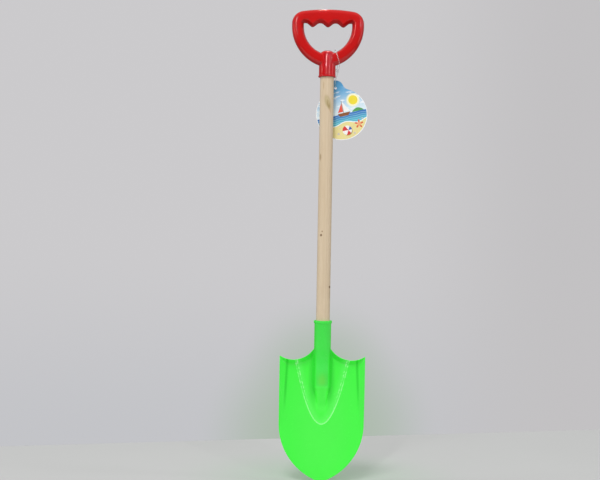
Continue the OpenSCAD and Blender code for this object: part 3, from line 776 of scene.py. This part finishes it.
green_tones, outer_green = ((0.056, 0.74, 0.054), (0.066, 0.80, 0.064)), (0.044, 0.77, 0.046)
dowel_green, low_dowel_green = (0.052, 0.64, 0.090), (0.056, 0.60, 0.062)
dowel_end_green, right_wall_painted_shade_green = (0.22, 0.50, 0.05), (0.052, 0.69, 0.052)
painted_shade_green, fold_painted_shade_green = (0.026, 0.54, 0.036), (0.010, 0.56, 0.016)
painted_sheet_glow, painted_nose_glow, painted_edge_highlight = (0.05, 0.85, 0.05), (0.10, 1.4, 0.10), (1.2, 1.3, 1.2)
# The fixed emission makes the whole sheet glow a little: painted light.
green, feed, place = material("translucent_green_plastic", IOR=1.5, Subsurface_Weight=0.15,
                              Subsurface_Radius=(0.004, 0.006, 0.003), Subsurface_Scale=1.0,
                              Emission_Strength=0.22)
x, y, z = (place / mm).parts()
cloud, wobble = place.noise(18, detail=3), place.noise(60, detail=1)
scuffs = (place * (0.5, 1, 1)).noise(700, detail=4).rise(0.62, 0.72)

# Heights are taken from the dowel's foot, and from the neck, where the socket comes clear of the sheet.
from_foot, from_neck = z - (socket_floor + point_level), z - (cover_to + point_level)
out = x.turn("ABSOLUTE")

# The dowel shows dark through the front of the socket, and its end shows brown.
free = from_neck.rise(-5, 10)
dowel = from_foot.rise(-5, 7) * out.rise(11 + 2 * free, 9 + free) * y.rise(0, -4)
dowel_end = distance(x / 7.75, (from_foot - 9) / 14.14).rise(1.2, 0.2) * dowel
green_colour = out.rise(12, 58).mix(cloud.mix(*green_tones), outer_green)
green_colour = (0.8 * dowel).mix(green_colour, dowel_green)
green_colour = (dowel * from_foot.rise(32, 12)).mix(green_colour, low_dowel_green)
green_colour = (0.30 * dowel_end).mix(green_colour, dowel_end_green)

# Painted shade: the nose's flanks, the sheet under the scallops, the folds of the walls and the right wall
# are painted darker, where shade falls.
flank = out.rise(9, 12) * out.rise(24, 13) * from_foot.rise(-40, 2) * from_neck.rise(20, 5)
scallop_shade = 0.6 * from_neck.rise(-35, 5) * out.rise(44, 18)
from_fold = (out - half_w + wall_w + (from_neck + 20) * 0.05).turn("ABSOLUTE")
green_colour = flank.most(scallop_shade).mix(green_colour, painted_shade_green)
green_colour = (from_fold.rise(3.0, 0.5) * from_foot.rise(-48, 2)).mix(green_colour, fold_painted_shade_green)
green_colour = (x.rise(58, 62) * from_foot.rise(-68, -8)).mix(green_colour, right_wall_painted_shade_green)

# Painted highlight on the hollow's edge: one bright line, broken near the top, a second line inside it, and
# a faint painted light just inside both. The whole sheet glows a little with painted light, strongest below
# the dowel's end.
past_edge = (z - point_level - hollow_z - x * x / hollow_focus) / distance(x * (2 / hollow_focus), 1)
uneven = 0.35 + 0.65 * place.noise(350, detail=3).rise(0.30, 0.55)
painted_highlight_line = past_edge.rise(-0.6, 0.3) * past_edge.rise(1.8, 0.9) * uneven
second_painted_highlight_line = (past_edge.rise(2.2, 3.2) * past_edge.rise(5.2, 4.0)
               * from_foot.rise(-48, 7) * place.noise(400).rise(0.36, 0.48))
breaks = 1 - 0.75 * from_foot.rise(-38, -3) * place.noise(170).rise(0.56, 0.44)
painted_haze = 0.14 * past_edge.rise(16, 2) * past_edge.rise(-0.5, 0.5)
glow = (painted_highlight_line.most(second_painted_highlight_line) * breaks).most(painted_haze) * from_neck.rise(8, 2)
painted_glow_under_dowel_end = out.rise(11, 6) * from_foot.rise(4, -10) * from_foot.rise(-53, -23)
feed(Base_Color=green_colour, Roughness=0.17 + 0.06 * cloud + 0.1 * scuffs,
     Emission_Color=glow.mix(painted_glow_under_dowel_end.mix(painted_sheet_glow, painted_nose_glow), painted_edge_highlight),
     Normal=(wobble + 0.06 * place.noise(1300)).relief(0.08))
dress(blade, green)
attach(blade, "shovel")
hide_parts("blade")

# Screws: two small pan-head screws of zinc-plated steel, driven from the back through the collar and the
# socket into the shaft. Their heads sit in spot faces.
zinc_tones = (0.46, 0.47, 0.48), (0.62, 0.63, 0.62)
zinc, feed, place = material("zinc_plated_steel", Metallic=1.0)
cloud = place.noise(700, detail=3)
feed(Base_Color=cloud.mix(*zinc_tones), Roughness=0.24 + 0.2 * cloud,
     Normal=place.noise(4000).relief(0.01))
for name in ("grip_screw", "blade_screw"):
    dress(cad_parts[name], zinc)
